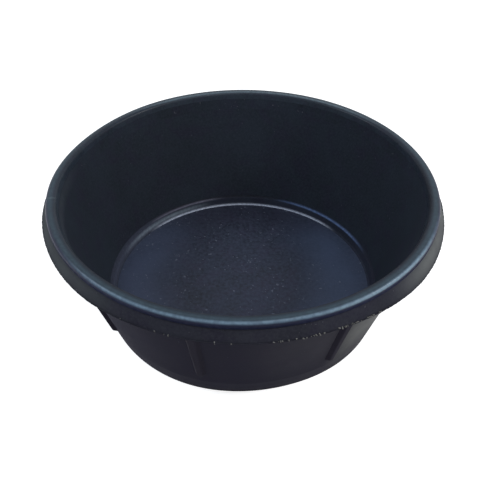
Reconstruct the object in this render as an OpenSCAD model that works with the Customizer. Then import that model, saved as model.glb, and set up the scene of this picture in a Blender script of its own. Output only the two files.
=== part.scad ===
// Round rubber feed tub with a flared, skirted rim and ribs on the outside of its wall.
// The tub is moulded in one go. Its nodes are the zones of that moulding, and they meet face to face.
// Millimetres. Z is up, the origin is the centre of the foot, and the front is towards -Y.

/* [Overall] */
// Diameter over the lower edge of the rim's skirt
rim_d = 420; // [380:5:520]
// Height from the ground to the top of the rim
tub_h = 150; // [110:5:240]
// Diameter of the floor inside, up to the foot of the heel
floor_d = 297; // [220:1:320]

/* [Floor and foot] */
// Thickness of the floor
floor_t = 6; // [4:0.5:14]
// Height of the foot, which is also the depth of the recess under the floor
foot_h = 2.5; // [1:0.5:8]
// Width of the foot's flat ring
foot_w = 16; // [10:1:40]
// Radius of the tub's lower outer edge
foot_round = 2; // [0.2:0.1:6]
// Radius of the foot's inner edge
foot_inner_round = 1; // [0.2:0.1:6]

/* [Heel] */
// Height of the heel, the thick steep band where the floor meets the wall
heel_h = 10; // [6:0.5:30]
// How far the heel leans outwards over its height
heel_lean = 2; // [0:0.5:8]
// Width of the ledge on top of the heel
heel_ledge = 2.7; // [2.5:0.1:10]
// Radius in the corner between the floor and the heel
floor_cove = 2.5; // [0.5:0.5:5]
// Radius of the heel's upper edge
heel_round = 1.2; // [0.2:0.1:1.3]
// Radius in the corner between the ledge and the wall
ledge_cove = 1.8; // [0.2:0.1:2]

/* [Side wall] */
// Thickness of the wall just above the heel, measured level
wall_t_low = 9; // [5:0.5:16]
// Thickness of the wall just under the rim, measured level
wall_t_top = 8; // [4:0.5:12]

/* [Rim] */
// Height of the rim, from its top to the skirt's lower edge
rim_h = 19.5; // [16:0.5:45]
// How far the skirt's lower edge stands out from the bead
skirt_flare = 5.5; // [4.5:0.5:15]
// Width of the bead along the top of the rim
bead_w = 10.5; // [9.5:0.5:20]
// Height of the bead
bead_h = 7.5; // [7:0.5:12]
// Radius of the bead's outer edge
bead_outer_round = 4; // [1:0.5:6]
// Radius of the bead's inner edge
bead_inner_round = 4; // [1:0.5:5]
// How far the bead overhangs the top of the skirt
bead_step = 0.8; // [0.3:0.1:2]
// Radius in the corner between the wall and the underside of the rim
rim_cove = 3; // [0.5:0.5:4]

/* [Ribs] */
// Number of ribs around the wall
rib_count = 8; // [4:1:12]
// Angle from the front to the first rib, clockwise seen from above
rib_turn = 13.8; // [0:0.1:45]
// Width of a rib where it meets the rim
rib_w_top = 12; // [9:0.5:24]
// Width of a rib at its rounded lower end
rib_w_low = 9; // [4:0.5:12]
// How far a rib stands out from the wall
rib_proud = 4; // [2:0.5:5]
// Height of the ribs' lower ends above the ground
rib_low = 34; // [5:1:60]

/* [Parting flash] */
// Thickness of the thin web left where the mould opens
flash_t = 0.8; // [0.3:0.1:2]
// How far the web stands out from the skirt's lower edge
flash_w = 0.8; // [0.3:0.1:2]

/* [Hidden] */
$fn = 128;

// Colours of the blue-black rubber
floor_colour = "#2f343f";
heel_colour = "#282d38";
wall_colour = "#22262e";
rim_colour = "#3a424b";
outside_colour = "#2a2a34";
rib_colour = "#24242b";
flash_colour = "#5f6468";

// Levels above the ground
floor_z = foot_h + floor_t;
ledge_z = floor_z + heel_h;
skirt_z = tub_h - rim_h;
bead_z = tub_h - bead_h;

// Inner face: foot of the heel, edge and back of its ledge, and mouth, before their edges are rounded
rim_r = rim_d / 2;
bead_r = rim_r - skirt_flare;
heel_foot = [floor_d / 2, floor_z];
heel_edge = heel_foot + [heel_lean, heel_h];
ledge_back = heel_edge + [heel_ledge, 0];
mouth = [bead_r - bead_w, tub_h];

// Radius at height z on the straight line through p and q
function radius_at(p, q, z) = p[0] + (q[0] - p[0]) * (z - p[1]) / (q[1] - p[1]);
// Radius of the wall's inner face at height z
function inner_r(z) = radius_at(ledge_back, mouth, z);

// Outer face: two points on its slope give the whole of it
outer_low = ledge_back + [wall_t_low, 0];
outer_top = [inner_r(skirt_z) + wall_t_top, skirt_z];
// Radius of the wall's outer face at height z
function outer_r(z) = radius_at(outer_low, outer_top, z);

foot_in_r = outer_r(0) - foot_w;

// Unit vector along v
function unit(v) = v / norm(v);
// Half the angle between the directions u and v
function half_angle(u, v) = acos(unit(u) * unit(v)) / 2;
// Distance from a corner to where an arc of radius r touches its sides
function reach(u, v, r) = r / tan(half_angle(u, v));
// Centre of the arc of radius r in the corner p between the directions u and v
function arc_centre(p, u, v, r) = p + unit(unit(u) + unit(v)) * r / sin(half_angle(u, v));

// Slopes of the wall's faces, upwards
inner_slope = unit(mouth - ledge_back);
outer_slope = unit(outer_top - outer_low);

// The floor's cove and the ledge's cove belong to the heel, so these are where its neighbours start
floor_edge_r = heel_foot[0] - reach([-1, 0], heel_edge - heel_foot, floor_cove);
wall_z = ledge_z + inner_slope[1] * reach([-1, 0], inner_slope, ledge_cove);

// Triangle between the corner p and the points where an arc of radius r touches its sides along u and v
module corner(p, u, v, r) {
    d = reach(u, v, r);
    polygon([p, p + unit(u) * d, p + unit(v) * d]);
}

// Disc whose edge is the arc of radius r in that corner
module corner_disc(p, u, v, r) {
    translate(arc_centre(p, u, v, r))
        circle(r);
}

// Polygon with true arcs at its corners. Its points run anticlockwise, and a radius of 0 leaves a corner sharp
module rounded(points, radii) {
    last = len(points) - 1;
    back = [for (i = [0:last]) points[i == 0 ? last : i - 1] - points[i]];
    ahead = [for (i = [0:last]) points[i == last ? 0 : i + 1] - points[i]];
    convex = [for (i = [0:last]) cross(ahead[i], back[i]) > 0];
    difference() {
        polygon([
            for (i = [0:last])
                let (d = convex[i] || radii[i] == 0 ? 0 : reach(back[i], ahead[i], radii[i]))
                for (side = d > 0 ? [back[i], ahead[i]] : [[1, 0]])
                    points[i] + unit(side) * d
        ]);
        for (i = [0:last])
            if (radii[i] > 0 && convex[i])
                difference() {
                    corner(points[i], back[i], ahead[i], radii[i]);
                    corner_disc(points[i], back[i], ahead[i], radii[i]);
                }
        for (i = [0:last])
            if (radii[i] > 0 && !convex[i])
                intersection() {
                    corner(points[i], back[i], ahead[i], radii[i]);
                    corner_disc(points[i], back[i], ahead[i], radii[i]);
                }
    }
}

// Half sections, with x as the distance from the axis and y as the height

// The wall, with a cove out to the underside of the rim
module wall_section() {
    cove_reach = reach([1, 0], -outer_slope, rim_cove);
    difference() {
        polygon([
            [inner_r(wall_z), wall_z],
            [outer_r(wall_z), wall_z],
            outer_top - outer_slope * cove_reach,
            outer_top + [cove_reach, 0],
            [inner_r(skirt_z), skirt_z]
        ]);
        corner_disc(outer_top, [1, 0], -outer_slope, rim_cove);
    }
}

module skirt_section() {
    polygon([
        [inner_r(skirt_z), skirt_z],
        [rim_r, skirt_z],
        [bead_r - bead_step, bead_z],
        [inner_r(bead_z), bead_z]
    ]);
}

// Zones of the moulding

module floor_disc() {
    color(floor_colour)
        translate([0, 0, foot_h])
            cylinder(h = floor_t, r = floor_edge_r);
}

module foot_ring() {
    low_round = min(foot_round, 0.8 * foot_h);
    inner_round = min(foot_inner_round, 0.8 * foot_h);
    color(outside_colour)
        rotate_extrude()
            rounded(
                [[foot_in_r, 0], [outer_r(0), 0], [outer_r(foot_h), foot_h], [foot_in_r, foot_h]],
                [inner_round, low_round, 0, 0]
            );
}

module heel_ring() {
    color(heel_colour)
        rotate_extrude()
            rounded(
                [
                    [floor_edge_r, foot_h],
                    [outer_r(foot_h), foot_h],
                    [outer_r(wall_z), wall_z],
                    [inner_r(wall_z), wall_z],
                    ledge_back,
                    heel_edge,
                    heel_foot,
                    [floor_edge_r, floor_z]
                ],
                [0, 0, 0, 0, ledge_cove, heel_round, floor_cove, 0]
            );
}

module side_wall() {
    color(wall_colour)
        rotate_extrude()
            wall_section();
}

module skirt_band() {
    color(outside_colour)
        rotate_extrude()
            skirt_section();
}

// Bead along the top of the rim, rounded over on both sides
module rim_bead() {
    lower_round = 0.6;
    color(rim_colour)
        rotate_extrude()
            rounded(
                [[inner_r(bead_z), bead_z], [bead_r, bead_z], [bead_r, tub_h], mouth],
                [0, lower_round, bead_outer_round, bead_inner_round]
            );
}

// Thin web round the skirt's lower edge, where the two halves of the mould met
module parting_flash() {
    color(flash_colour)
        rotate_extrude()
            difference() {
                translate([rim_r - flash_w, skirt_z])
                    square([2 * flash_w, flash_t]);
                skirt_section();
            }
}

// Rib number i: a strip that follows the wall's slope, wider at the rim and round at its lower end
module rib(i) {
    tip_r = rib_w_low / 2;
    tip_z = rib_low + tip_r;
    color(rib_colour)
        rotate([0, 0, -90 - rib_turn + (i - 1) * 360 / rib_count])
            intersection() {
                rotate_extrude()
                    difference() {
                        polygon([
                            [outer_r(0), 0],
                            [outer_r(0) + rib_proud, 0],
                            outer_top + [rib_proud, 0],
                            outer_top
                        ]);
                        wall_section();
                    }
                rotate([90, 0, 90])
                    linear_extrude(rim_r) {
                        polygon([
                            [-tip_r, tip_z],
                            [tip_r, tip_z],
                            [rib_w_top / 2, skirt_z],
                            [-rib_w_top / 2, skirt_z]
                        ]);
                        translate([0, tip_z])
                            circle(tip_r);
                    }
            }
}

floor_disc();
foot_ring();
heel_ring();
side_wall();
skirt_band();
rim_bead();
parting_flash();
for (i = [1:rib_count])
    rib(i);
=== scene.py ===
# Rubber feed tub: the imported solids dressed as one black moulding, with its grain, ribs and torn flash
# Metres, Z up, the middle of the foot at the origin, the front towards -Y
import math
import random

import bmesh
import bpy
from mathutils import Matrix, Vector


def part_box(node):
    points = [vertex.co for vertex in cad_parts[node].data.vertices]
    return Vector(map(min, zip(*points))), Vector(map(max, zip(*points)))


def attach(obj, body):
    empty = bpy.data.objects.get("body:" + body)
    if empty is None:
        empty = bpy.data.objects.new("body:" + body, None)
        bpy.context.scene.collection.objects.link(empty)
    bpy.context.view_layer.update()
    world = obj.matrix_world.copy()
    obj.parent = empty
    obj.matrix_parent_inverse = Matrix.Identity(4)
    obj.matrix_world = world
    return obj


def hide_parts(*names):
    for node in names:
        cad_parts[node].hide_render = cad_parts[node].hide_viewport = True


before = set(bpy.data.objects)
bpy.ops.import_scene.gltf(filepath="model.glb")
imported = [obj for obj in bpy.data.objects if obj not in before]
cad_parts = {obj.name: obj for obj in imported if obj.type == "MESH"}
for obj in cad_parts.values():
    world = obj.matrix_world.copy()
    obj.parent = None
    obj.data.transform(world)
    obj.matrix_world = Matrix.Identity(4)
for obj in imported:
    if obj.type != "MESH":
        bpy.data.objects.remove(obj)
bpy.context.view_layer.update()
print("frame loaded:", len(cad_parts), "nodes")

mm = 0.001
doubles = 0.001 * mm  # points closer than this are one
middleGrey = (0.5, 0.5, 0.5)  # where a noise colour swings to neither side
noiseSpan = (0.35, 0.65)  # nearly all of a noise lies between these


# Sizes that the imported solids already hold
def lowOf(node):
    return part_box(node)[0].z


def topOf(node):
    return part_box(node)[1].z


def radiusOf(node):
    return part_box(node)[1].x


rimTop = topOf("rim_bead")
beadLow = lowOf("rim_bead")
beadRadius = radiusOf("rim_bead")
skirtLow = lowOf("skirt_band")
skirtRadius = radiusOf("skirt_band")
floorTop = topOf("floor_disc")
floorUnder = lowOf("floor_disc")
floorEdge = radiusOf("floor_disc")
heelTop = topOf("heel_ring")
heelOutside = (radiusOf("heel_ring"), heelTop)
footOutside = (radiusOf("foot_ring"), topOf("foot_ring"))
ribNodes = sorted(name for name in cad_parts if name.startswith("rib_"))

# What a box can't tell, as in the solids
rim = {"beadWidth": 10.5 * mm, "beadStep": 0.8 * mm, "outerRound": 4 * mm, "innerRound": 4 * mm,
       "undercut": 0.6 * mm, "skirtRound": 0.35 * mm, "cove": 3 * mm}
heel = {"radius": 148.5 * mm, "lean": 2 * mm, "height": 10 * mm, "ledge": 2.7 * mm,
        "floorCove": 2.5 * mm, "edgeRound": 1.2 * mm, "ledgeCove": 1.8 * mm}
foot = {"width": 16 * mm, "outerRound": 2 * mm, "innerRound": 1 * mm}

mouthRadius = beadRadius - rim["beadWidth"]
ledgeHeight = floorTop + heel["height"]
ledgeRadius = heel["radius"] + heel["lean"] + heel["ledge"]


# Radius at height z on the straight line through two points
def radiusAt(low, high, z):
    return low[0] + (high[0] - low[0]) * (z - low[1]) / (high[1] - low[1])


def innerAt(z):
    return radiusAt((ledgeRadius, ledgeHeight), (mouthRadius, rimTop), z)


def outerAt(z):
    return radiusAt(footOutside, heelOutside, z)


footInner = outerAt(0) - foot["width"]


# Node trees

def newTree(name, kind, inputs, outputs):
    tree = bpy.data.node_groups.new(name, kind)
    for label, socketType, value in inputs:
        socket = tree.interface.new_socket(name=label, in_out="INPUT", socket_type=socketType)
        if value is not None:
            socket.default_value = value
    for label, socketType in outputs:
        tree.interface.new_socket(name=label, in_out="OUTPUT", socket_type=socketType)
    return tree, tree.nodes.new("NodeGroupInput").outputs, tree.nodes.new("NodeGroupOutput").inputs


# One node with its settings, its inputs given by name or number as a value or another node's socket
def addNode(tree, kind, inputs=None, **settings):
    node = tree.nodes.new(kind)
    for key, value in settings.items():
        setattr(node, key, value)
    for key, value in (inputs or {}).items():
        if isinstance(value, bpy.types.NodeSocket):
            tree.links.new(value, node.inputs[key])
        else:
            node.inputs[key].default_value = value
    return node


def position(tree):
    return addNode(tree, "GeometryNodeInputPosition").outputs[0]


def calc(tree, operation, *values, clamp=False):
    node = addNode(tree, "ShaderNodeMath", dict(enumerate(values)), operation=operation, use_clamp=clamp)
    return node.outputs[0]


def vectorCalc(tree, operation, *values, scale=None):
    inputs = dict(enumerate(values))
    if scale is not None:
        inputs["Scale"] = scale
    return addNode(tree, "ShaderNodeVectorMath", inputs, operation=operation)


def ramp(tree, value, low, high, toLow=0.0, toHigh=1.0):
    limits = {"Value": value, "From Min": low, "From Max": high, "To Min": toLow, "To Max": toHigh}
    return addNode(tree, "ShaderNodeMapRange", limits, interpolation_type="SMOOTHSTEP").outputs["Result"]


def mixValue(tree, factor, first, second):
    return addNode(tree, "ShaderNodeMix", {"Factor": factor, "A": first, "B": second}).outputs["Result"]


# Noise from 0 to 1, its grain about as large as one over the scale
def noise(tree, vector, scale, **details):
    inputs = {"Vector": vector, "Scale": scale, **{key.capitalize(): value for key, value in details.items()}}
    return addNode(tree, "ShaderNodeTexNoise", inputs).outputs[0]


# Revolves a half section about Z and gives it the slight unevenness of moulded rubber
def turnedTree():
    tree, given, out = newTree("turned ring", "GeometryNodeTree", [
        ("Geometry", "NodeSocketGeometry", None), ("Segments", "NodeSocketInt", 360),
        ("Path Radius", "NodeSocketFloat", 0.1), ("Unevenness", "NodeSocketFloat", 0.0002),
        ("Wave Scale", "NodeSocketFloat", 9.0), ("Calm Height", "NodeSocketFloat", 0.01),
        ("Seed", "NodeSocketFloat", 3.0), ("Material", "NodeSocketMaterial", None),
    ], [("Geometry", "NodeSocketGeometry")])
    place = addNode(tree, "ShaderNodeSeparateXYZ", {0: position(tree)}).outputs
    flat = addNode(tree, "ShaderNodeCombineXYZ", {
        "X": calc(tree, "SUBTRACT", place["X"], given["Path Radius"]),
        "Y": calc(tree, "MULTIPLY", place["Z"], -1.0)}).outputs[0]
    section = addNode(tree, "GeometryNodeSetPosition", {"Geometry": given["Geometry"], "Position": flat})
    outline = addNode(tree, "GeometryNodeMeshToCurve", {0: section.outputs[0]})
    path = addNode(tree, "GeometryNodeCurvePrimitiveCircle", {
        "Resolution": given["Segments"], "Radius": given["Path Radius"]})
    swept = addNode(tree, "GeometryNodeCurveToMesh", {
        0: path.outputs[0], "Profile Curve": outline.outputs[0]})
    merged = addNode(tree, "GeometryNodeMergeByDistance", {0: swept.outputs[0], "Distance": doubles})
    spot = position(tree)
    wave = addNode(tree, "ShaderNodeTexNoise", {
        "Vector": spot, "W": given["Seed"], "Scale": given["Wave Scale"], "Detail": 2.0},
        noise_dimensions="4D").outputs["Color"]
    swing = vectorCalc(tree, "SUBTRACT", wave, middleGrey).outputs[0]
    height = addNode(tree, "ShaderNodeSeparateXYZ", {0: spot}).outputs["Z"]
    calm = ramp(tree, height, 0.0, given["Calm Height"])
    amount = calc(tree, "MULTIPLY", calc(tree, "MULTIPLY", given["Unevenness"], 2.0), calm)
    offset = vectorCalc(tree, "SCALE", swing, scale=amount).outputs[0]
    moved = addNode(tree, "GeometryNodeSetPosition", {"Geometry": merged.outputs[0], "Offset": offset})
    real = addNode(tree, "GeometryNodeRealizeInstances", {0: moved.outputs[0]})
    finish = addNode(tree, "GeometryNodeSetMaterial", {0: real.outputs[0], "Material": given["Material"]})
    tree.links.new(finish.outputs[0], out[0])
    return tree


# Repeats a piece about Z at even angles
def ringTree():
    tree, given, out = newTree("even ring", "GeometryNodeTree", [
        ("Geometry", "NodeSocketGeometry", None), ("Count", "NodeSocketInt", 8),
        ("First Angle", "NodeSocketFloat", 0.0), ("Material", "NodeSocketMaterial", None),
    ], [("Geometry", "NodeSocketGeometry")])
    spots = addNode(tree, "GeometryNodePoints", {"Count": given["Count"]})
    index = addNode(tree, "GeometryNodeInputIndex").outputs[0]
    step = calc(tree, "DIVIDE", math.tau, given["Count"])
    angle = calc(tree, "MULTIPLY_ADD", index, step, given["First Angle"])
    turn = addNode(tree, "ShaderNodeCombineXYZ", {"Z": angle}).outputs[0]
    copies = addNode(tree, "GeometryNodeInstanceOnPoints", {
        "Points": spots.outputs[0], "Instance": given["Geometry"], "Rotation": turn})
    real = addNode(tree, "GeometryNodeRealizeInstances", {0: copies.outputs[0]})
    finish = addNode(tree, "GeometryNodeSetMaterial", {0: real.outputs[0], "Material": given["Material"]})
    tree.links.new(finish.outputs[0], out[0])
    return tree


# A crumb's length, width and height, as shares of its size
crumbShape = {"Min": (0.45, 0.45, 0.35), "Max": (1.5, 1.0, 1.1)}


# Puts a small ragged crumb of rubber on each point of the host
def crumbTree():
    tree, given, out = newTree("torn crumbs", "GeometryNodeTree", [
        ("Geometry", "NodeSocketGeometry", None), ("Crumb Size", "NodeSocketFloat", 0.0012),
        ("Raggedness", "NodeSocketFloat", 0.5), ("Seed", "NodeSocketInt", 7),
        ("Material", "NodeSocketMaterial", None),
    ], [("Geometry", "NodeSocketGeometry")])
    ball = addNode(tree, "GeometryNodeMeshIcoSphere", {
        "Radius": calc(tree, "MULTIPLY", given["Crumb Size"], 0.5), "Subdivisions": 2})
    wide = addNode(tree, "FunctionNodeRandomValue", {
        **crumbShape, "Seed": given["Seed"]}, data_type="FLOAT_VECTOR")
    turn = addNode(tree, "FunctionNodeRandomValue", {
        "Min": (0.0, 0.0, 0.0), "Max": (math.tau,) * 3, "Seed": given["Seed"]}, data_type="FLOAT_VECTOR")
    copies = addNode(tree, "GeometryNodeInstanceOnPoints", {
        "Points": given["Geometry"], "Instance": ball.outputs[0],
        "Rotation": turn.outputs[0], "Scale": wide.outputs[0]})
    real = addNode(tree, "GeometryNodeRealizeInstances", {0: copies.outputs[0]})
    fine = calc(tree, "DIVIDE", 1.0, given["Crumb Size"])
    rough = addNode(tree, "ShaderNodeTexNoise", {"Vector": position(tree), "Scale": fine})
    swing = vectorCalc(tree, "SUBTRACT", rough.outputs["Color"], middleGrey).outputs[0]
    amount = calc(tree, "MULTIPLY", given["Raggedness"], given["Crumb Size"])
    offset = vectorCalc(tree, "SCALE", swing, scale=amount).outputs[0]
    moved = addNode(tree, "GeometryNodeSetPosition", {"Geometry": real.outputs[0], "Offset": offset})
    finish = addNode(tree, "GeometryNodeSetMaterial", {0: moved.outputs[0], "Material": given["Material"]})
    tree.links.new(finish.outputs[0], out[0])
    return tree


# Shader groups that several of the rubbers share

def shaderGroup(name, inputs, outputs):
    return newTree(name, "ShaderNodeTree", inputs, outputs)


# The level direction away from the tub's axis, the distance from it, and the height
def fromAxis(tree, vector):
    place = addNode(tree, "ShaderNodeSeparateXYZ", {0: vector}).outputs
    level = addNode(tree, "ShaderNodeCombineXYZ", {"X": place["X"], "Y": place["Y"]}).outputs[0]
    radius = vectorCalc(tree, "LENGTH", level).outputs["Value"]
    return {"level": level, "radius": radius, "height": place["Z"]}


# Fine pebbled grain: a height for the bump and an even tone round 0.5
def grainGroup():
    tree, given, out = shaderGroup("rubber grain", [
        ("Vector", "NodeSocketVector", None), ("Grain Size", "NodeSocketFloat", 0.0012),
        ("Pebbles", "NodeSocketFloat", 0.5), ("Contrast", "NodeSocketFloat", 3.2)],
        [("Height", "NodeSocketFloat"), ("Tone", "NodeSocketFloat")])
    scale = calc(tree, "DIVIDE", 1.0, given["Grain Size"])
    fine = noise(tree, given["Vector"], scale, detail=3.0, roughness=0.6)
    pebble = addNode(tree, "ShaderNodeTexVoronoi", {"Vector": given["Vector"], "Scale": scale},
                     feature="SMOOTH_F1").outputs["Distance"]
    height = mixValue(tree, given["Pebbles"], fine, calc(tree, "SUBTRACT", 1.0, pebble))
    tone = calc(tree, "MULTIPLY_ADD", calc(tree, "SUBTRACT", fine, 0.5), given["Contrast"], 0.5, clamp=True)
    tree.links.new(height, out["Height"])
    tree.links.new(tone, out["Tone"])
    return tree


# Cloudy bloom that sulphur and wax leave on old rubber
def bloomGroup():
    tree, given, out = shaderGroup("cloudy bloom", [
        ("Vector", "NodeSocketVector", None), ("Cloud Size", "NodeSocketFloat", 0.05),
        ("Coverage", "NodeSocketFloat", 0.5), ("Softness", "NodeSocketFloat", 0.25)],
        [("Mask", "NodeSocketFloat")])
    scale = calc(tree, "DIVIDE", 1.0, given["Cloud Size"])
    cloud = noise(tree, given["Vector"], scale, detail=5.0, roughness=0.55, distortion=0.4)
    edge, soft = calc(tree, "SUBTRACT", 1.0, given["Coverage"]), given["Softness"]
    mask = ramp(tree, cloud, calc(tree, "SUBTRACT", edge, soft), calc(tree, "ADD", edge, soft))
    tree.links.new(mask, out["Mask"])
    return tree


# Scattered pale flecks of dust and bloom, in loose clusters
def fleckGroup():
    tree, given, out = shaderGroup("pale flecks", [
        ("Vector", "NodeSocketVector", None), ("Fleck Size", "NodeSocketFloat", 0.003),
        ("Cluster Size", "NodeSocketFloat", 0.03), ("Clustering", "NodeSocketFloat", 0.25),
        ("Rarity", "NodeSocketFloat", 0.68), ("Edge", "NodeSocketFloat", 0.07)],
        [("Mask", "NodeSocketFloat")])
    fineScale = calc(tree, "DIVIDE", 1.0, given["Fleck Size"])
    fine = noise(tree, given["Vector"], fineScale, detail=1.0, roughness=0.4)
    clusterScale = calc(tree, "DIVIDE", 1.0, given["Cluster Size"])
    cluster = noise(tree, given["Vector"], clusterScale, detail=1.0)
    lift = calc(tree, "MULTIPLY", calc(tree, "SUBTRACT", cluster, 0.5), given["Clustering"])
    full = calc(tree, "ADD", given["Rarity"], given["Edge"])
    tree.links.new(ramp(tree, calc(tree, "ADD", fine, lift), given["Rarity"], full), out["Mask"])
    return tree


# A mark along a level ring of the tub, such as the rim's edge, over all of it or over one sector
def ringMarkGroup():
    tree, given, out = shaderGroup("ring mark", [
        ("Vector", "NodeSocketVector", None), ("Ring Radius", "NodeSocketFloat", 0.2),
        ("Ring Height", "NodeSocketFloat", 0.15), ("Reach", "NodeSocketFloat", 0.003),
        ("Breakup", "NodeSocketFloat", 0.5), ("Breakup Scale", "NodeSocketFloat", 160.0),
        ("Aim", "NodeSocketVector", None), ("Fade From", "NodeSocketFloat", -3.0),
        ("Fade To", "NodeSocketFloat", -2.0)],
        [("Mask", "NodeSocketFloat")])
    axial = fromAxis(tree, given["Vector"])
    aside = calc(tree, "SUBTRACT", axial["radius"], given["Ring Radius"])
    above = calc(tree, "SUBTRACT", axial["height"], given["Ring Height"])
    away = calc(tree, "SQRT", calc(tree, "ADD", calc(tree, "MULTIPLY", aside, aside),
                                   calc(tree, "MULTIPLY", above, above)))
    near = ramp(tree, away, 0.0, given["Reach"], 1.0, 0.0)
    towards = vectorCalc(tree, "NORMALIZE", axial["level"]).outputs[0]
    facing = vectorCalc(tree, "DOT_PRODUCT", towards, given["Aim"]).outputs["Value"]
    inSector = ramp(tree, facing, given["Fade From"], given["Fade To"])
    gaps = ramp(tree, noise(tree, given["Vector"], given["Breakup Scale"], detail=4.0), *noiseSpan)
    kept = calc(tree, "SUBTRACT", 1.0, calc(tree, "MULTIPLY", given["Breakup"], gaps))
    tree.links.new(calc(tree, "MULTIPLY", calc(tree, "MULTIPLY", near, inSector), kept), out["Mask"])
    return tree


# Tells the outer face of the wall from the inner one by a cone between them
def outerFaceGroup():
    tree, given, out = shaderGroup("outer face", [
        ("Vector", "NodeSocketVector", None), ("Cone Radius", "NodeSocketFloat", 0.15),
        ("Cone Slope", "NodeSocketFloat", 0.3), ("Softness", "NodeSocketFloat", 0.0005)],
        [("Mask", "NodeSocketFloat")])
    axial = fromAxis(tree, given["Vector"])
    cone = calc(tree, "MULTIPLY_ADD", axial["height"], given["Cone Slope"], given["Cone Radius"])
    beyond = calc(tree, "SUBTRACT", axial["radius"], cone)
    soft = given["Softness"]
    tree.links.new(ramp(tree, beyond, calc(tree, "MULTIPLY", soft, -1.0), soft), out["Mask"])
    return tree


# Faint rings that the turned mould leaves in the rubber, here and there
def turningGroup():
    tree, given, out = shaderGroup("turning marks", [
        ("Vector", "NodeSocketVector", None), ("Pitch", "NodeSocketFloat", 0.0025),
        ("Wander", "NodeSocketFloat", 0.004), ("Wander Scale", "NodeSocketFloat", 30.0),
        ("Shown From", "NodeSocketFloat", 0.4), ("Shown To", "NodeSocketFloat", 0.65)],
        [("Height", "NodeSocketFloat")])
    radius = fromAxis(tree, given["Vector"])["radius"]
    blur = noise(tree, given["Vector"], given["Wander Scale"], detail=2.0)
    turns = calc(tree, "DIVIDE", calc(tree, "MULTIPLY_ADD", blur, given["Wander"], radius), given["Pitch"])
    wave = calc(tree, "SINE", calc(tree, "MULTIPLY", turns, math.tau))
    fade = ramp(tree, blur, given["Shown From"], given["Shown To"])
    tree.links.new(calc(tree, "MULTIPLY", wave, fade), out["Height"])
    return tree


geoTrees = {"turned": turnedTree(), "ring": ringTree(), "crumbs": crumbTree()}
groups = {"grain": grainGroup(), "bloom": bloomGroup(), "flecks": fleckGroup(),
          "ringMark": ringMarkGroup(), "outerFace": outerFaceGroup(), "turning": turningGroup()}
print("node trees built")


# Rubber finishes

# A colour as seen, to 255, as the linear one that a shader takes
def linear(red, green, blue):
    return tuple((c / 255 / 12.92) if c <= 10 else ((c / 255 + 0.055) / 1.055) ** 2.4
                 for c in (red, green, blue)) + (1.0,)


def placeGroup(tree, name, inputs):
    return addNode(tree, "ShaderNodeGroup", inputs, node_tree=groups[name]).outputs


# Inputs 6 and 7 of the Mix node are its two colours
def mixColour(tree, factor, first, second):
    inputs = {"Factor": factor, 6: first, 7: second}
    return addNode(tree, "ShaderNodeMix", inputs, data_type="RGBA").outputs[2]


# The part of a ring between two bearings, in degrees from the front towards the right, with soft ends
def sector(start, end, fade):
    middle = math.radians(start + end) / 2
    span = (end - start) / 2
    return {"Aim": (math.sin(middle), -math.cos(middle), 0),
            "Fade From": math.cos(math.radians(min(180, span + fade))),
            "Fade To": math.cos(math.radians(max(0, span - fade)))}


# Without an aim every bearing counts as 0, which is past both of these limits
wholeRing = {"Aim": (0, 0, 0), "Fade From": -3.0, "Fade To": -2.0}


# A mark round the tub at one radius and height, all the way or in one sector given by start, end and fade
def ring(radius, height, reach, strength, colour, gloss, *bearings):
    place = {"Ring Radius": radius, "Ring Height": height, "Reach": reach}
    return {"inputs": {**place, **(sector(*bearings) if bearings else wholeRing)},
            "strength": strength, "colour": colour, "gloss": gloss}


driftLook = {"share": 0.4, "Coverage": 0.45, "Softness": 0.12}  # smaller clouds, as a share of the bloom's
glossRange = (0.2, 1.6)  # grain tone and bloom together, from the glossiest to the mattest
fleckRelief = 0.1 * mm


def newMaterial(name):
    material = bpy.data.materials.new(name)
    material.use_nodes = True
    return material, material.node_tree, material.node_tree.nodes["Principled BSDF"]


# Deep black under a bluish bloom, with a purplish drift over both and dust on the grain
def baseColour(tree, place, look, grain, bloom, side):
    tones = {key: linear(*look[key]) for key in ("deep", "bloom", "dust")}
    if look["outside"]:
        tones = {key: mixColour(tree, side, tones[key], linear(*look["outside"][key])) for key in tones}
    drift = placeGroup(tree, "bloom", {
        "Vector": place, "Cloud Size": look["cloudSize"] * driftLook["share"],
        "Coverage": driftLook["Coverage"], "Softness": driftLook["Softness"]})["Mask"]
    drifted = calc(tree, "MULTIPLY", drift, look["drift"])
    dusted = calc(tree, "MULTIPLY", grain["Tone"], look["grainTone"])
    colour = mixColour(tree, bloom, tones["deep"], tones["bloom"])
    colour = mixColour(tree, drifted, colour, linear(*look["driftColour"]))
    return mixColour(tree, dusted, colour, tones["dust"])


# Lays a mark over the colour and the roughness so far, within a mask if there is one
def addMark(tree, place, mark, breakup, within, colour, rough):
    spread = placeGroup(tree, "ringMark", {
        "Vector": place, "Breakup": breakup[0], "Breakup Scale": breakup[1], **mark["inputs"]})["Mask"]
    amount = calc(tree, "MULTIPLY", spread, mark["strength"])
    if within is not None:
        amount = calc(tree, "MULTIPLY", amount, within)
    colour = mixColour(tree, amount, colour, linear(*mark["colour"]))
    return colour, mixValue(tree, amount, rough, mark["gloss"])


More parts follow.
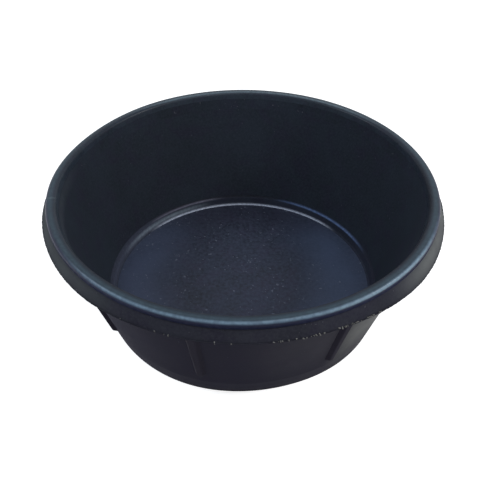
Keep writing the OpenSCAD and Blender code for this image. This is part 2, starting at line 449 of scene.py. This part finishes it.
# One rubber, with the grain, bloom, marks and flecks that its settings ask for
def rubber(name, look):
    material, tree, shader = newMaterial(name)
    place = addNode(tree, "ShaderNodeTexCoord").outputs["Object"]
    grain = placeGroup(tree, "grain", {
        "Vector": place, "Grain Size": look["grainSize"], "Pebbles": look["pebbles"]})
    bloom = placeGroup(tree, "bloom", {
        "Vector": place, "Cloud Size": look["cloudSize"], "Coverage": look["coverage"],
        "Softness": look["softness"]})["Mask"]
    side = None
    if look["outside"]:
        side = placeGroup(tree, "outerFace", {"Vector": place, **look["cone"]})["Mask"]
    colour = baseColour(tree, place, look, grain, bloom, side)
    rough = ramp(tree, calc(tree, "ADD", grain["Tone"], bloom), *glossRange, *look["gloss"])
    height = calc(tree, "MULTIPLY", grain["Height"], look["grainDepth"])
    for mark in look["marks"]:
        colour, rough = addMark(tree, place, mark, look["breakup"], None, colour, rough)
    for mark in look["outsideMarks"]:
        colour, rough = addMark(tree, place, mark, look["outsideBreakup"], side, colour, rough)
    if look["flecks"]:
        size, cluster, rarity = look["flecks"]
        fleck = placeGroup(tree, "flecks", {
            "Vector": place, "Fleck Size": size, "Cluster Size": cluster, "Rarity": rarity})["Mask"]
        strength = calc(tree, "MULTIPLY", fleck, look["fleckStrength"])
        colour = mixColour(tree, strength, colour, linear(*look["fleckColour"]))
        height = calc(tree, "ADD", height, calc(tree, "MULTIPLY", fleck, fleckRelief))
    if look["turning"]:
        pitch, depth = look["turning"]
        waves = placeGroup(tree, "turning", {"Vector": place, "Pitch": pitch})["Height"]
        height = calc(tree, "ADD", height, calc(tree, "MULTIPLY", waves, depth))
    bump = addNode(tree, "ShaderNodeBump", {"Height": height, "Strength": 1.0, "Distance": 1.0})
    tree.links.new(colour, shader.inputs["Base Color"])
    tree.links.new(rough, shader.inputs["Roughness"])
    tree.links.new(bump.outputs[0], shader.inputs["Normal"])
    shader.inputs["Specular IOR Level"].default_value = look["specular"]
    return material


# A cone halfway through the wall parts its outer face from its inner one
wallCone = {"Cone Radius": (innerAt(0) + outerAt(0)) / 2,
            "Cone Slope": (innerAt(1) + outerAt(1) - innerAt(0) - outerAt(0)) / 2}

# What a rubber has unless its own settings say otherwise. Colours are as seen, red, green and blue to 255.
# Breakup is the depth and scale of a mark's gaps, flecks are size, cluster size and rarity, turning is
# pitch and depth
plainRubber = {
    "deep": (20, 22, 28), "bloom": (31, 34, 43), "dust": (42, 45, 54),
    "cloudSize": 45 * mm, "coverage": 0.5, "softness": 0.25,
    "drift": 0.4, "driftColour": (34, 30, 46),
    "grainSize": 2.4 * mm, "grainTone": 0.35, "grainDepth": 0.05 * mm, "pebbles": 0.4,
    "gloss": (0.7, 0.85), "specular": 0.05,
    "outside": None, "cone": wallCone,
    "marks": [], "breakup": (0.5, 160.0), "outsideMarks": [], "outsideBreakup": (0.25, 28.0),
    "flecks": None, "fleckColour": (140, 146, 156), "fleckStrength": 0.8, "turning": None,
}

wallOutside = {"deep": (29, 27, 40), "bloom": (38, 38, 50), "dust": (52, 51, 61)}

# Painted light on the outside: lighter patches where light from the sides falls, strongest to the right
sideLightHeight = 90 * mm
sideLightRadius = outerAt(sideLightHeight)
paintedSideLight = [
    ring(sideLightRadius, sideLightHeight, 110 * mm, 0.5, (72, 71, 77), 0.8, 8, 60, 12),
    ring(sideLightRadius, sideLightHeight, 110 * mm, 0.4, (58, 58, 68), 0.8, -120, -32, 20),
    ring(sideLightRadius, sideLightHeight, 120 * mm, 0.75, (116, 116, 118), 0.8, 46, 128, 18),
    ring(sideLightRadius, sideLightHeight, 110 * mm, 0.55, (132, 134, 130), 0.8, 34, 82, 5),
]

# Painted light inside, under the rim to the left, where light from the right falls on the inner face
leftLightHeight = skirtLow + 8 * mm
paintedLeftLight = ring(innerAt(leftLightHeight), leftLightHeight, 12 * mm, 0.5, (62, 68, 74), 0.7, -92, -46, 16)

floorLook = {
    "deep": (27, 31, 42), "bloom": (38, 43, 57), "dust": (59, 66, 82),
    "drift": 0.5, "driftColour": (43, 42, 59),
    "grainSize": 4.2 * mm, "grainTone": 0.5, "grainDepth": 0.12 * mm,
    "gloss": (0.42, 0.58), "specular": 0.18, "breakup": (0.2, 25.0),
    "flecks": (3.4 * mm, 28 * mm, 0.715), "fleckColour": (98, 105, 120), "fleckStrength": 0.5,
    "turning": (3.2 * mm, 0.012 * mm),
    "marks": [
        ring(118 * mm, floorTop, 60 * mm, 0.7, (64, 76, 100), 0.45, 45, 128, 38),  # painted sheen to the right
        ring(118 * mm, floorTop, 60 * mm, 0.6, (60, 69, 90), 0.45, -122, -45, 38),  # painted sheen to the left
        ring(130 * mm, floorTop, 38 * mm, 0.4, (68, 78, 102), 0.45, -128, -62, 30),  # painted sheen, stronger by the heel to the left
        ring(130 * mm, floorTop, 50 * mm, 0.5, (22, 21, 33), 0.5, 150, 205, 25),  # painted shade, darker at the back
    ],
}

heelLook = {
    "deep": (30, 34, 44), "bloom": (38, 43, 55), "dust": (50, 55, 67),
    # The outer face takes the painted side light
    "outside": wallOutside, "outsideMarks": paintedSideLight,
    "grainDepth": 0.015 * mm, "specular": 0.1, "breakup": (0.3, 300.0),
    "marks": [
        # Painted shade on the ledge, at the back and to the right
        ring(152.4 * mm, heelTop, 4 * mm, 0.95, (15, 17, 22), 0.8, 128, 226, 14),
        ring(152.4 * mm, heelTop, 5 * mm, 0.5, (17, 18, 27), 0.8, 48, 128, 14),
        # Painted light on the face to the left, a painted highlight along the cove at its foot at the back,
        # and a painted highlight on the face at the back left
        ring(150.6 * mm, floorTop + 5 * mm, 9 * mm, 0.7, (74, 79, 96), 0.5, -130, -70, 16),
        ring(146.8 * mm, floorTop + 0.6 * mm, 3.2 * mm, 1.0, (168, 176, 194), 0.3, 134, 226, 8),
        ring(149.3 * mm, floorTop + 4.5 * mm, 4.6 * mm, 0.7, (124, 136, 148), 0.3, -152, -118, 14),
        # Painted highlights on the upper edge, at the back left and the back right
        ring(150.4 * mm, heelTop - 0.3 * mm, 3.4 * mm, 0.85, (112, 112, 130), 0.32, -163, -136, 9),
        ring(150.8 * mm, heelTop - 0.3 * mm, 3.2 * mm, 0.95, (92, 116, 160), 0.35, 114, 154, 11),
    ],
}

wallLook = {
    "deep": (28, 33, 39), "bloom": (36, 42, 51), "dust": (49, 55, 65),
    # Painted side light outside, and painted light to the left inside
    "outside": wallOutside, "outsideMarks": paintedSideLight, "marks": [paintedLeftLight],
    "cloudSize": 60 * mm, "softness": 0.4,
    "flecks": (3 * mm, 40 * mm, 0.76), "fleckColour": (66, 70, 80), "fleckStrength": 0.4,
}

outerLook = {
    "deep": (28, 33, 39), "bloom": (36, 42, 51), "dust": (49, 55, 65),
    "outside": {"deep": (36, 37, 45), "bloom": (45, 46, 55), "dust": (59, 60, 67)},
    "cloudSize": 40 * mm, "breakup": (0.25, 160.0),
    "flecks": (2.6 * mm, 30 * mm, 0.75), "fleckColour": (90, 90, 98), "fleckStrength": 0.5,
    "marks": [
        # Painted light to the left on the inner face
        paintedLeftLight,
        ring(skirtRadius + 0.5 * mm, skirtLow + 0.3 * mm, 1.3 * mm, 0.6, (30, 30, 36), 0.85),  # torn edge
    ],
    "outsideMarks": [
        # Painted light on the skirt's outer face, to the right and to the left
        ring(skirtRadius - 3 * mm, skirtLow + 6 * mm, 18 * mm, 0.75, (108, 111, 110), 0.8, 52, 100, 14),
        ring(skirtRadius - 3 * mm, skirtLow + 6 * mm, 18 * mm, 0.7, (78, 82, 82), 0.8, -105, -45, 18),
    ],
}

rimLook = {
    "deep": (27, 33, 41), "bloom": (37, 45, 55), "dust": (48, 58, 69),
    # Dark blue outer face of the bead: painted shade
    "outside": {"deep": (20, 24, 44), "bloom": (28, 33, 58), "dust": (40, 46, 72)},
    "cone": {"Cone Radius": beadRadius - 2 * mm, "Cone Slope": 0.0, "Softness": 1.0 * mm},
    "cloudSize": 30 * mm, "grainDepth": 0.02 * mm,
    "gloss": (0.3, 0.4), "specular": 0.12, "breakup": (0.32, 220.0),
    "marks": [
        # The inner face, with painted light to the left and painted shade in front, and a painted sheen on
        # the top
        ring(mouthRadius, rimTop - 5 * mm, 7 * mm, 0.5, (60, 68, 76), 0.5, -92, -46, 16),
        ring(beadRadius - 4.5 * mm, rimTop, 5 * mm, 0.7, (58, 74, 84), 0.32),
        ring(mouthRadius + 0.7 * mm, rimTop - 2.3 * mm, 6 * mm, 1.0, (26, 29, 37), 0.7, -56, 98, 18),
        # Painted highlights on the shoulders, outside in front and to the right and inside at the back
        ring(beadRadius - 1.2 * mm, rimTop - 1.2 * mm, 2.6 * mm, 0.85, (114, 137, 155), 0.3, -44, 62, 16),
        ring(beadRadius - 0.6 * mm, rimTop - 1.8 * mm, 2.1 * mm, 0.55, (142, 165, 178), 0.28, 26, 54, 13),
        ring(mouthRadius + 2.4 * mm, rimTop - 0.4 * mm, 2.6 * mm, 0.7, (104, 120, 130), 0.3, 135, 215, 15),
        # Painted shade on the outer face, and the splice
        ring(beadRadius + 1 * mm, rimTop - 6.5 * mm, 5 * mm, 1.0, (22, 26, 48), 0.95),
        ring(beadRadius - 5 * mm, rimTop, 9 * mm, 0.6, (84, 94, 100), 0.4, -82.3, -81.7, 0.35),
    ],
}

ribLook = {"deep": (30, 28, 38), "bloom": (40, 38, 49), "dust": (53, 51, 60), "grainDepth": 0.02 * mm}

flashLook = {
    "deep": (70, 70, 71), "bloom": (106, 106, 104), "dust": (140, 139, 135),
    "cloudSize": 5 * mm, "softness": 0.15, "drift": 0.0, "grainDepth": 0.06 * mm,
}

finishes = {"floor_rubber": floorLook, "heel_rubber": heelLook, "wall_rubber": wallLook,
            "outer_rubber": outerLook, "rim_rubber": rimLook, "rib_rubber": ribLook,
            "flash_rubber": flashLook}
materials = {slot: rubber(slot, {**plainRubber, **look}) for slot, look in finishes.items()}
print("rubbers mixed:", len(materials))


# Turned pieces

# A closed half section with its corners rounded, as points (radius, height) along arcs and straight runs
def roundedOutline(corners, arcStep=0.5 * mm, run=4 * mm):
    points = []
    total = len(corners)
    for i, (radius, height, bend) in enumerate(corners):
        here = Vector((radius, height))
        back = (Vector(corners[i - 1][:2]) - here).normalized()
        ahead = (Vector(corners[(i + 1) % total][:2]) - here).normalized()
        if bend == 0:
            points.append(here)
            continue
        half = back.angle(ahead) / 2
        centre = here + (back + ahead).normalized() * bend / math.sin(half)
        start = here + back * bend / math.tan(half) - centre
        end = here + ahead * bend / math.tan(half) - centre
        sweep = start.angle_signed(end)
        steps = max(3, math.ceil(abs(sweep) * bend / arcStep))
        points += [centre + Matrix.Rotation(-sweep * k / steps, 2) @ start for k in range(steps + 1)]
    outline = []
    for here, there in zip(points, points[1:] + points[:1]):
        pieces = max(1, math.ceil((there - here).length / run))
        outline += [here.lerp(there, k / pieces) for k in range(pieces)]
    return outline


def addObject(name, data):
    piece = bpy.data.objects.new(name, data)
    bpy.context.scene.collection.objects.link(piece)
    return piece


def newObject(name, verts, edges=(), faces=()):
    mesh = bpy.data.meshes.new(name)
    mesh.from_pydata(verts, list(edges), list(faces))
    return addObject(name, mesh)


# Runs a geometry tree on a host and leaves the result as a plain mesh
def bake(host, treeName, settings):
    tree = geoTrees[treeName]
    modifier = host.modifiers.new(treeName, "NODES")
    modifier.node_group = tree
    for item in tree.interface.items_tree:
        if item.in_out == "INPUT" and item.name in settings:
            modifier[item.identifier] = settings[item.name]
    bpy.context.view_layer.update()
    result = bpy.data.meshes.new_from_object(host.evaluated_get(bpy.context.evaluated_depsgraph_get()))
    host.modifiers.remove(modifier)
    host.data = result


# Merges doubles, turns the faces outwards and smooths all but the sharp edges
def tidyMesh(piece, sharp=35):
    mesh = bmesh.new()
    mesh.from_mesh(piece.data)
    bmesh.ops.remove_doubles(mesh, verts=mesh.verts, dist=doubles)
    bmesh.ops.recalc_face_normals(mesh, faces=mesh.faces)
    mesh.to_mesh(piece.data)
    mesh.free()
    piece.data.shade_smooth()
    piece.data.set_sharp_from_angle(angle=math.radians(sharp))
    return piece


def smooth(t):
    t = min(1.0, max(0.0, t))
    return t * t * (3 - 2 * t)


# The rubber has settled a little out of round: bearings from the front, half widths in degrees, and how far
give = {"rim": [(78, 50, 0.6 * mm), (-120, 32, -1.9 * mm), (0, 45, 0.4 * mm)], "rimFrom": 30 * mm,
        "skirt": [(52, 32, 2.5 * mm), (-44, 26, 0.8 * mm)], "droop": 0.6, "margin": 1 * mm,
        "base": [(-22, 42, 2.3 * mm), (40, 26, 0.6 * mm)], "baseUpTo": 110 * mm, "baseBlend": 8 * mm}


def swells(kind, bearing):
    return sum(amount * smooth(1 - abs((bearing - middle + 180) % 360 - 180) / half)
               for middle, half, amount in give[kind])


def settle(piece):
    skirtRoot, margin = outerAt(skirtLow), give["margin"]
    for vertex in piece.data.vertices:
        point = vertex.co
        radius = math.hypot(point.x, point.y)
        if radius < heel["radius"]:
            continue
        bearing = math.degrees(math.atan2(point.x, -point.y))
        flared = smooth((radius - skirtRoot) / (skirtRadius - skirtRoot))
        flared *= smooth((beadLow + margin - point.z) / (beadLow - skirtLow))
        outwards = swells("skirt", bearing) * flared if point.z > skirtLow - margin else 0.0
        down = outwards * give["droop"]
        high = smooth((point.z - give["rimFrom"]) / (skirtLow - give["rimFrom"]))
        outwards += swells("rim", bearing) * high
        low = 1 - smooth(point.z / give["baseUpTo"])
        outwards += swells("base", bearing) * low * smooth((radius - heel["radius"]) / give["baseBlend"])
        point.x *= 1 + outwards / radius
        point.y *= 1 + outwards / radius
        point.z -= down


def dress(piece, slot, *nodes):
    settle(piece)
    piece.data.materials.clear()
    piece.data.materials.append(materials[slot])
    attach(piece, "root")
    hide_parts(*nodes)


turned = {"Segments": 360, "Unevenness": 0.25 * mm, "Wave Scale": 9.0, "Calm Height": 12 * mm, "Seed": 3.0}


def turnedMesh(name, slot, corners, **changes):
    outline = roundedOutline(corners)
    count = len(outline)
    host = newObject(name, [(point.x, 0, point.y) for point in outline],
                     [(i, (i + 1) % count) for i in range(count)])
    pathRadius = outerAt(ledgeHeight)
    bake(host, "turned", {**turned, "Path Radius": pathRadius, "Material": materials[slot], **changes})
    return tidyMesh(host)


def turnedPiece(name, slot, node, corners):
    dress(turnedMesh(name, slot, corners), slot, node)


# Adds another object's mesh to a piece
def join(piece, other):
    mesh = bmesh.new()
    mesh.from_mesh(piece.data)
    mesh.from_mesh(other.data)
    mesh.to_mesh(piece.data)
    mesh.free()
    bpy.data.objects.remove(other)
    return piece


turnedPiece("floor", "floor_rubber", "floor_disc", [
    (0, floorUnder, 0), (floorEdge, floorUnder, 0), (floorEdge, floorTop, 0), (0, floorTop, 0)])

turnedPiece("foot", "outer_rubber", "foot_ring", [
    (footInner, 0, foot["innerRound"]), (outerAt(0), 0, foot["outerRound"]),
    (outerAt(floorUnder), floorUnder, 0), (footInner, floorUnder, 0)])

turnedPiece("heel", "heel_rubber", "heel_ring", [
    (floorEdge, floorUnder, 0), (outerAt(floorUnder), floorUnder, 0), (outerAt(heelTop), heelTop, 0),
    (innerAt(heelTop), heelTop, 0), (ledgeRadius, ledgeHeight, heel["ledgeCove"]),
    (heel["radius"] + heel["lean"], ledgeHeight, heel["edgeRound"]),
    (heel["radius"], floorTop, heel["floorCove"]), (floorEdge, floorTop, 0)])

outward = Vector((outerAt(skirtLow) - outerAt(heelTop), skirtLow - heelTop)).normalized()
coveReach = rim["cove"] / math.tan(Vector((1, 0)).angle(-outward) / 2)
turnedPiece("wall", "wall_rubber", "side_wall", [
    (innerAt(heelTop), heelTop, 0), (outerAt(heelTop), heelTop, 0),
    (outerAt(skirtLow), skirtLow, rim["cove"]), (outerAt(skirtLow) + coveReach, skirtLow, 0),
    (innerAt(skirtLow), skirtLow, 0)])

# The skirt keeps a thin torn edge where the mould opened
fin = {"width": 0.5 * mm, "thickness": 0.5 * mm, "root": 1 * mm,
       "tear": {"Segments": 1400, "Unevenness": 0.55 * mm, "Wave Scale": 330.0, "Calm Height": 1 * mm}}
finRoot, finEnd, finTop = skirtRadius - fin["root"], skirtRadius + fin["width"], skirtLow + fin["thickness"]
skirt = turnedMesh("skirt", "outer_rubber", [
    (innerAt(skirtLow), skirtLow, 0), (skirtRadius, skirtLow, rim["skirtRound"]),
    (beadRadius - rim["beadStep"], beadLow, 0), (innerAt(beadLow), beadLow, 0)])
tornEdge = turnedMesh("tornEdge", "outer_rubber", [
    (finRoot, skirtLow, 0), (finEnd, skirtLow, 0), (finEnd, finTop, 0), (finRoot, finTop, 0)], **fin["tear"])
dress(join(skirt, tornEdge), "outer_rubber", "skirt_band")

beadCorners = [(innerAt(beadLow), beadLow, 0), (beadRadius, beadLow, rim["undercut"]),
               (beadRadius, rimTop, rim["outerRound"]), (mouthRadius, rimTop, rim["innerRound"])]

# The splice, a fine ridge over the bead where the ends of the rubber blank met
splice = {"bearing": -82, "width": 1.7 * mm, "proud": 0.4 * mm, "sunk": 0.4 * mm,
          "lowest": rimTop - 4.5 * mm}


def makeSplice():
    outline = roundedOutline(beadCorners)
    over = [k for k, point in enumerate(outline) if point.y > splice["lowest"]]
    turn = Matrix.Rotation(math.radians(splice["bearing"] - 90), 4, "Z")
    verts, faces = [], []
    for k in over:
        along = outline[(k + 1) % len(outline)] - outline[k - 1]
        away = Vector((along.y, -along.x)).normalized()
        for side, lift in ((-0.5, -splice["sunk"]), (0, splice["proud"]), (0.5, -splice["sunk"])):
            spot = outline[k] + away * lift
            verts.append(turn @ Vector((spot.x, side * splice["width"], spot.y)))
    for k in range(len(over) - 1):
        for edge in range(3):
            a, b = 3 * k + edge, 3 * k + (edge + 1) % 3
            faces.append((a, b, b + 3, a + 3))
    faces += [(0, 2, 1), tuple(len(verts) - 3 + k for k in range(3))]
    return tidyMesh(newObject("splice", verts, faces=faces), sharp=80)


dress(join(turnedMesh("bead", "rim_rubber", beadCorners), makeSplice()), "rim_rubber", "rim_bead")
print("turned pieces done")


# Ribs: raised strips that follow the wall, with drafted shoulders and a soft foot
rib = {"topWidth": 12 * mm, "lowWidth": 9 * mm, "proud": 4 * mm, "shoulder": 2.8 * mm, "fillet": 2.2 * mm,
       "sunk": 0.6 * mm, "roundEnd": 7 * mm, "intoSkirt": 0.3 * mm, "across": 36, "fineRows": 26, "rows": 30}


def ribHeight(x, z, low, top):
    tip = rib["lowWidth"] / 2
    if z > low + tip:
        share = (z - low - tip) / (top - low - tip)
        inside = (rib["lowWidth"] + (rib["topWidth"] - rib["lowWidth"]) * share) / 2 - abs(x)
    else:
        inside = tip - math.hypot(x, z - low - tip)
    rise = smooth((inside + rib["fillet"]) / (rib["shoulder"] + rib["fillet"]))
    return -rib["sunk"] + (rib["proud"] + rib["sunk"]) * rise


def makeRib():
    low = lowOf(ribNodes[0])
    top = skirtLow
    halfSpan = rib["topWidth"] / 2 + rib["fillet"]
    start, bendTop, end = low - rib["fillet"], low + rib["roundEnd"], top + rib["intoSkirt"]
    heights = [start + (bendTop - start) * k / rib["fineRows"] for k in range(rib["fineRows"])]
    heights += [bendTop + (end - bendTop) * k / rib["rows"] for k in range(rib["rows"] + 1)]
    front, back = [], []
    columns = rib["across"] + 1
    for z in heights:
        for k in range(columns):
            x = halfSpan * (2 * k / rib["across"] - 1)
            radius = outerAt(z) + ribHeight(x, z, low, top)
            angle = x / outerAt(z)
            front.append((radius * math.sin(angle), -radius * math.cos(angle), z))
            inner = outerAt(z) - 2 * rib["sunk"]
            back.append((inner * math.sin(angle), -inner * math.cos(angle), z))
    faces = []
    rows = len(heights)
    for j in range(rows - 1):
        for k in range(columns - 1):
            a, b = j * columns + k, (j + 1) * columns + k
            faces.append((a, a + 1, b + 1, b))
            faces.append(tuple(len(front) + v for v in (a, b, b + 1, a + 1)))
    border = list(range(columns)) + [j * columns + columns - 1 for j in range(1, rows)]
    border += [(rows - 1) * columns + k for k in range(columns - 2, -1, -1)]
    border += [j * columns for j in range(rows - 2, 0, -1)]
    shift = len(front)
    for a, b in zip(border, border[1:] + border[:1]):
        faces.append((a, shift + a, shift + b, b))
    return newObject("ribs", front + back, faces=faces)


# The rib to the left sits a little askew, nearer the front, and reaches lower, in degrees from the front
askew = {"bearing": -58.8, "half": 6, "turn": 3, "lean": 2, "longer": 6 * mm}


def setAskew(piece):
    low = lowOf(ribNodes[0])
    for vertex in piece.data.vertices:
        point = vertex.co
        bearing = math.degrees(math.atan2(point.x, -point.y))
        if abs(bearing - askew["bearing"]) > askew["half"]:
            continue
        down = (skirtLow - point.z) / (skirtLow - low)
        height = point.z - askew["longer"] * down
        radius = math.hypot(point.x, point.y) + outerAt(height) - outerAt(point.z)
        angle = math.radians(bearing + askew["turn"] + askew["lean"] * down)
        vertex.co = (radius * math.sin(angle), -radius * math.cos(angle), height)


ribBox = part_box(ribNodes[0])
ribMiddle = (ribBox[0] + ribBox[1]) / 2
firstAngle = math.atan2(ribMiddle.x, -ribMiddle.y)
ribs = makeRib()
bake(ribs, "ring", {"Count": len(ribNodes), "First Angle": firstAngle, "Material": materials["rib_rubber"]})
tidyMesh(ribs, sharp=50)
setAskew(ribs)
dress(ribs, "rib_rubber", *ribNodes)
print("ribs done:", len(ribNodes))


# Torn flash: crumbs along the skirt's lower edge, thick where the web tore last, by degrees from the front
flash = {"seed": 11, "spacing": 0.16, "crumb": 2.1 * mm, "ragged": 0.55,
         "inset": 0.5 * mm, "outwards": 0.7 * mm, "upwards": 0.9 * mm, "waves": (2.7, 0.9, 1), "sparse": 0.02,
         "patches": [(2.5, 18.5, 0.16), (23.2, 36.5, 0.6), (-20.5, -4.5, 0.1), (120, 131, 0.25),
                     (176, 189, 0.22)]}


# Goes round the edge step by step. Two waves, one quick and one slow, thin the crumbs out within a patch
def flashPlaces():
    dice = random.Random(flash["seed"])
    quick, slow, shift = flash["waves"]
    places = []
    for k in range(round(360 / flash["spacing"])):
        degrees = -180 + k * flash["spacing"]
        chance = flash["sparse"]
        for start, end, share in flash["patches"]:
            if start <= degrees <= end or start <= degrees + 360 <= end:
                chance = share
        thin = 0.5 + 0.5 * math.sin(degrees * quick) * math.sin(degrees * slow + shift)
        luck, reach, level = dice.random(), dice.random(), dice.random()
        if luck > chance * thin:
            continue
        angle = math.radians(degrees)
        radius = skirtRadius - flash["inset"] + flash["outwards"] * reach
        height = skirtLow + flash["upwards"] * level
        places.append((radius * math.sin(angle), -radius * math.cos(angle), height))
    return places


crumbs = newObject("flash", flashPlaces())
bake(crumbs, "crumbs", {"Crumb Size": flash["crumb"], "Raggedness": flash["ragged"], "Seed": flash["seed"],
                        "Material": materials["flash_rubber"]})
tidyMesh(crumbs, sharp=80)
dress(crumbs, "flash_rubber", "parting_flash")
print("flash done")


# Stage
stage = {"half": 6.0, "back": 9.0, "front": -4.0, "floor": (205, 205, 207), "roughness": 0.9, "fill": 0.8}


# The rays by which the white surroundings are seen, as against those that light the tub
def seenRays(tree):
    rays = addNode(tree, "ShaderNodeLightPath").outputs
    seen = calc(tree, "MAXIMUM", rays["Is Glossy Ray"], rays["Is Transmission Ray"])
    return rays, calc(tree, "MAXIMUM", rays["Is Camera Ray"], seen)


def stageMaterial():
    material, tree, shader = newMaterial("pale floor")
    shader.inputs["Base Color"].default_value = linear(*stage["floor"])
    shader.inputs["Roughness"].default_value = stage["roughness"]
    shader.inputs["Specular IOR Level"].default_value = 0.0
    rays, seen = seenRays(tree)
    glow = addNode(tree, "ShaderNodeEmission", {
        "Color": (1, 1, 1, 1), "Strength": calc(tree, "MULTIPLY", seen, stage["fill"])})
    lit = addNode(tree, "ShaderNodeAddShader", {0: shader.outputs[0], 1: glow.outputs[0]})
    clear = addNode(tree, "ShaderNodeBsdfTransparent")
    under = calc(tree, "MULTIPLY", addNode(tree, "ShaderNodeNewGeometry").outputs["Backfacing"],
                 rays["Is Camera Ray"])
    both = addNode(tree, "ShaderNodeMixShader", {0: under, 1: lit.outputs[0], 2: clear.outputs[0]})
    tree.links.new(both.outputs[0], tree.nodes["Material Output"].inputs["Surface"])
    return material


# Not square, so that the edge between the ground's two triangles doesn't run under the tub
half, near, far = stage["half"], stage["front"], stage["back"]
ground = newObject("ground", [(-half, near, 0), (half, near, 0), (half, far, 0), (-half, far, 0)],
                   faces=[(0, 1, 2, 3)])
ground.data.materials.append(stageMaterial())


def makeWorld(ambient):
    world = bpy.data.worlds.new("studio")
    bpy.context.scene.world = world
    world.use_nodes = True
    tree = world.node_tree
    rays, seen = seenRays(tree)
    strength = addNode(tree, "ShaderNodeMapRange", {"Value": seen, "To Min": ambient, "To Max": 1.0})
    background = tree.nodes["Background"]
    background.inputs["Color"].default_value = (1, 1, 1, 1)
    tree.links.new(strength.outputs[0], background.inputs["Strength"])


# Metres and watts. All softboxes are aimed at the middle of the tub
lights = {"ambient": 0.38, "aim": (0, 0, 0.08)}
softboxes = {
    "frontTopBox": {"place": (0.3, -0.45, 1.25), "size": (0.22, 0.16), "power": 3.6,
                    "colour": (0.9, 0.96, 1.0)},
    "rightBox": {"place": (1.05, -0.2, 0.9), "size": (0.26, 0.26), "power": 8,
                 "colour": (0.98, 0.98, 1.0)},
    "leftBox": {"place": (-1.05, -0.1, 0.9), "size": (0.26, 0.26), "power": 6.5,
                "colour": (0.78, 0.87, 1.0)},
}


def softbox(name, place, size, power, colour):
    lamp = bpy.data.lights.new(name, "AREA")
    lamp.shape = "RECTANGLE"
    lamp.size, lamp.size_y = size
    lamp.energy = power
    lamp.color = colour
    piece = addObject(name, lamp)
    piece.location = place
    piece.rotation_euler = (Vector(lights["aim"]) - Vector(place)).to_track_quat("-Z", "Y").to_euler()


makeWorld(lights["ambient"])
for name, settings in softboxes.items():
    softbox(name, **settings)

# Distance and elevation from the middle of the mouth, in metres and degrees, with lens and sensor in mm
camera = {"distance": 762.9 * mm, "elevation": 35.309, "aimDown": 39.924, "pan": -0.2645, "roll": -0.3056,
          "lens": 54.06, "sensor": 36, "clip": (0.01, 50)}


def makeCamera():
    data = bpy.data.cameras.new("camera")
    data.sensor_width = camera["sensor"]
    data.lens = camera["lens"]
    data.clip_start, data.clip_end = camera["clip"]
    piece = addObject("camera", data)
    rise, down, pan, roll = (math.radians(camera[key]) for key in ("elevation", "aimDown", "pan", "roll"))
    forward = Vector((math.sin(pan) * math.cos(down), math.cos(pan) * math.cos(down), -math.sin(down)))
    side = Vector((math.cos(pan), -math.sin(pan), 0))
    up = side.cross(forward)
    right = side * math.cos(roll) + up * math.sin(roll)
    up = up * math.cos(roll) - side * math.sin(roll)
    back, above = camera["distance"] * math.cos(rise), camera["distance"] * math.sin(rise)
    turn = Matrix((right, up, -forward)).transposed().to_4x4()
    piece.matrix_world = Matrix.Translation((0, -back, rimTop + above)) @ turn
    bpy.context.scene.camera = piece


makeCamera()
bpy.context.scene.view_settings.view_transform = "Standard"
print("stage set")
